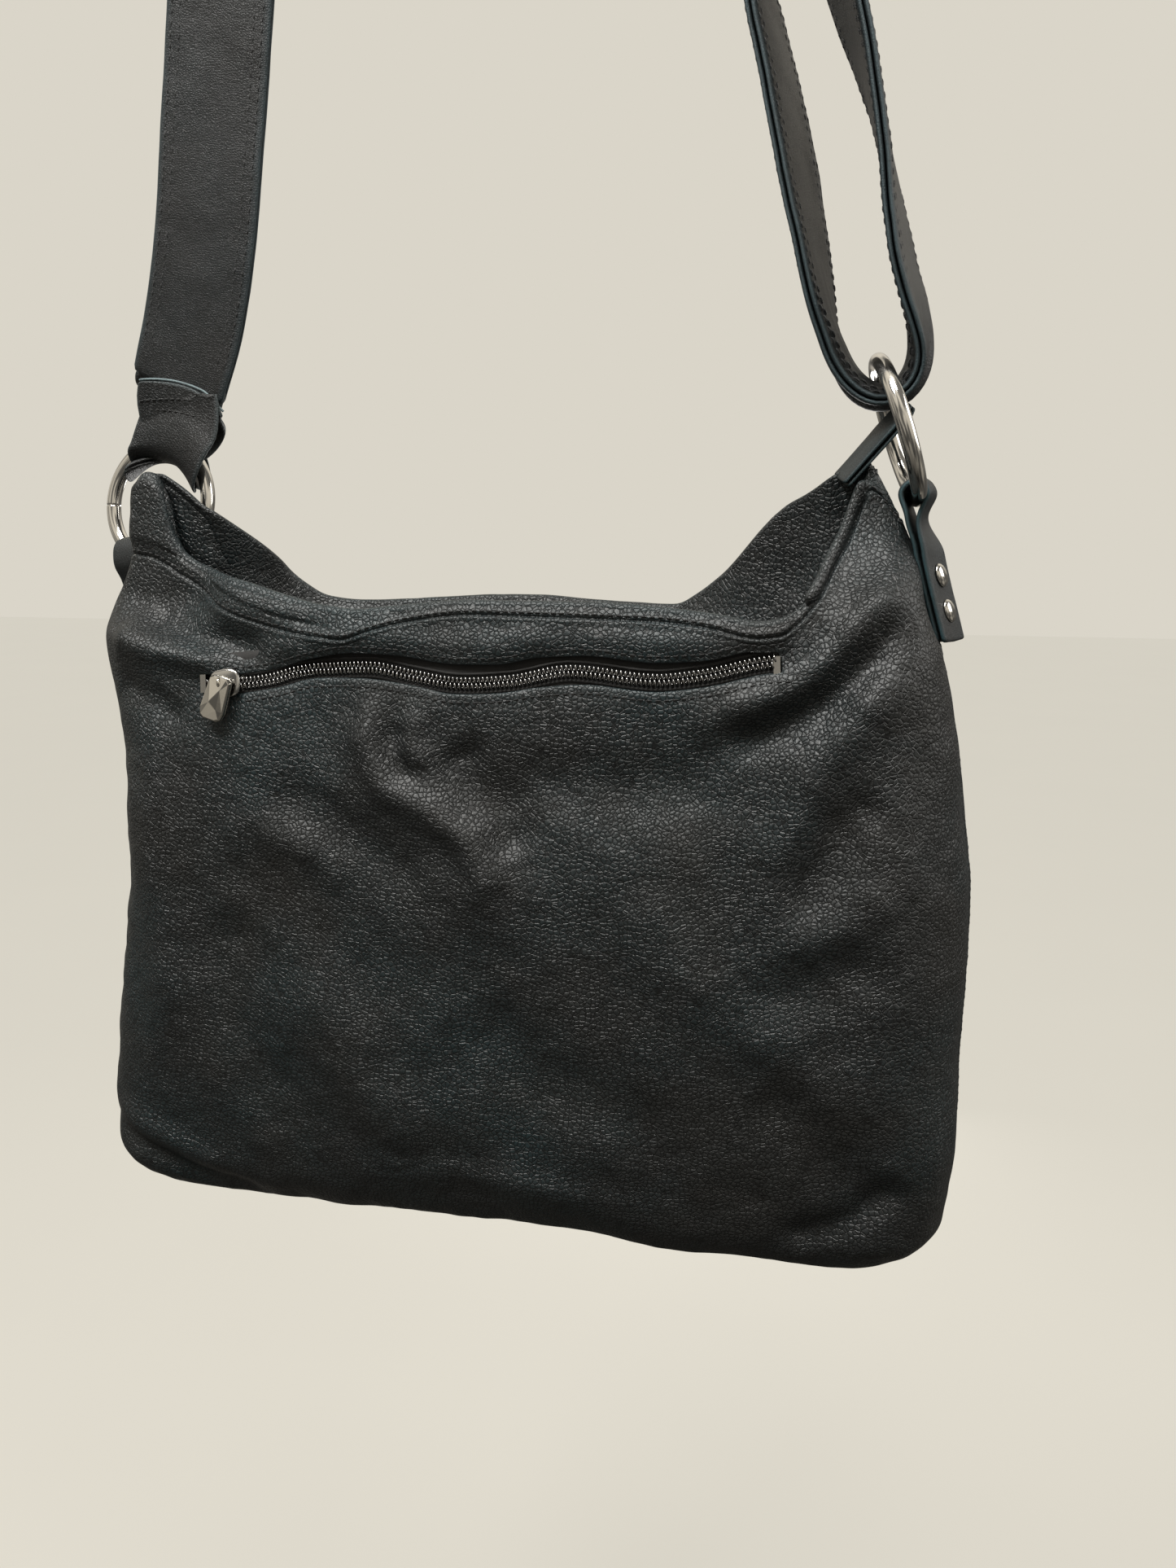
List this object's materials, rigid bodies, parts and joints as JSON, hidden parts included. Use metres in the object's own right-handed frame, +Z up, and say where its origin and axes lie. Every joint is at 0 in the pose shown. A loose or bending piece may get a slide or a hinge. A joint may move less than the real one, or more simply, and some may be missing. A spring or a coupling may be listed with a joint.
{
  "type": "hobo bag",
  "caption": "Slouchy leather hobo shoulder bag with a wide strap through two wire rings, a sunk top zip and a front zip pocket.",
  "frame": {"origin": "underside of the strap's crown, where the bag hangs on a hook or shoulder", "axes": "+X to the right seen from the pocket side, +Y to the plain back, +Z up"},
  "size_m": [0.3728, 0.1045, 0.9236],
  "materials": {
    "body_leather": "pebbled, semi-gloss",
    "strap_leather": "smooth, satin",
    "lining_cloth": "matt woven",
    "zip_tape": "matt woven",
    "zip_coil": "metallised",
    "zip_metal": "dark nickel, polished",
    "ring_metal": "polished nickel"
  },
  "bodies": {
    "strap": {"strap_face": "strap_leather", "strap_backing": "strap_leather", "strap_slide_buckle": "ring_metal"},
    "left_ring": {"left_ring": "ring_metal"},
    "right_ring": {"right_ring": "ring_metal"},
    "bag": {"front_panel": "body_leather", "back_panel": "body_leather", "lining": "lining_cloth", "pocket_bag": "lining_cloth", "front_top_facing": "body_leather", "back_top_facing": "body_leather", "main_zip_tape": "zip_tape", "main_zip_coil": "zip_coil", "main_zip_stops": "zip_metal", "main_zip_end_tab": "body_leather", "pocket_zip_tape": "zip_tape", "pocket_zip_coil": "zip_coil", "pocket_zip_stops": "zip_metal", "left_side_tab": "body_leather", "right_side_tab": "body_leather", "left_tab_rivets": "ring_metal", "right_tab_rivets": "ring_metal"},
    "pocket_slider": {"pocket_zip_slider": "zip_metal"},
    "pocket_pull": {"pocket_zip_pull": "zip_metal"},
    "main_slider": {"main_zip_slider": "zip_metal"},
    "main_pull": {"main_zip_pull": "zip_metal"}
  },
  "joints": [
    {"name": "left_ring_spin", "type": "hinge", "parent": "strap", "child": "left_ring", "pos_m": [-0.12805, 0.006, -0.61923], "axis": [0.1536, 0.9695, -0.1908], "continuous": true},
    {"name": "right_ring_spin", "type": "hinge", "parent": "strap", "child": "right_ring", "pos_m": [0.17985, -0.002, -0.59523], "axis": [0.9417, 0.0708, 0.3289], "continuous": true},
    {"name": "bag_swing", "type": "hinge", "parent": "strap", "child": "bag", "pos_m": [-0.13944, 0.00335, -0.64189], "axis": [0.9975, -0.0144, 0.0687], "range_deg": [-10, 10]},
    {"name": "pocket_slider_travel", "type": "slide", "parent": "bag", "child": "pocket_slider", "axis": [0.9984, 0.0085, 0.0552], "range_m": [0, 0.207]},
    {"name": "pocket_pull_lift", "type": "hinge", "parent": "pocket_slider", "child": "pocket_pull", "pos_m": [-0.07499, -0.04519, -0.68931], "axis": [0.9984, 0.0085, 0.0552], "range_deg": [-120, 0]},
    {"name": "main_slider_travel", "type": "slide", "parent": "bag", "child": "main_slider", "axis": [-1, 0, 0], "range_m": [0, 0.191]},
    {"name": "main_pull_lift", "type": "hinge", "parent": "main_slider", "child": "main_pull", "pos_m": [0.12485, -0.005, -0.67703], "axis": [0, 1, 0], "range_deg": [0, 120]}
  ]
}
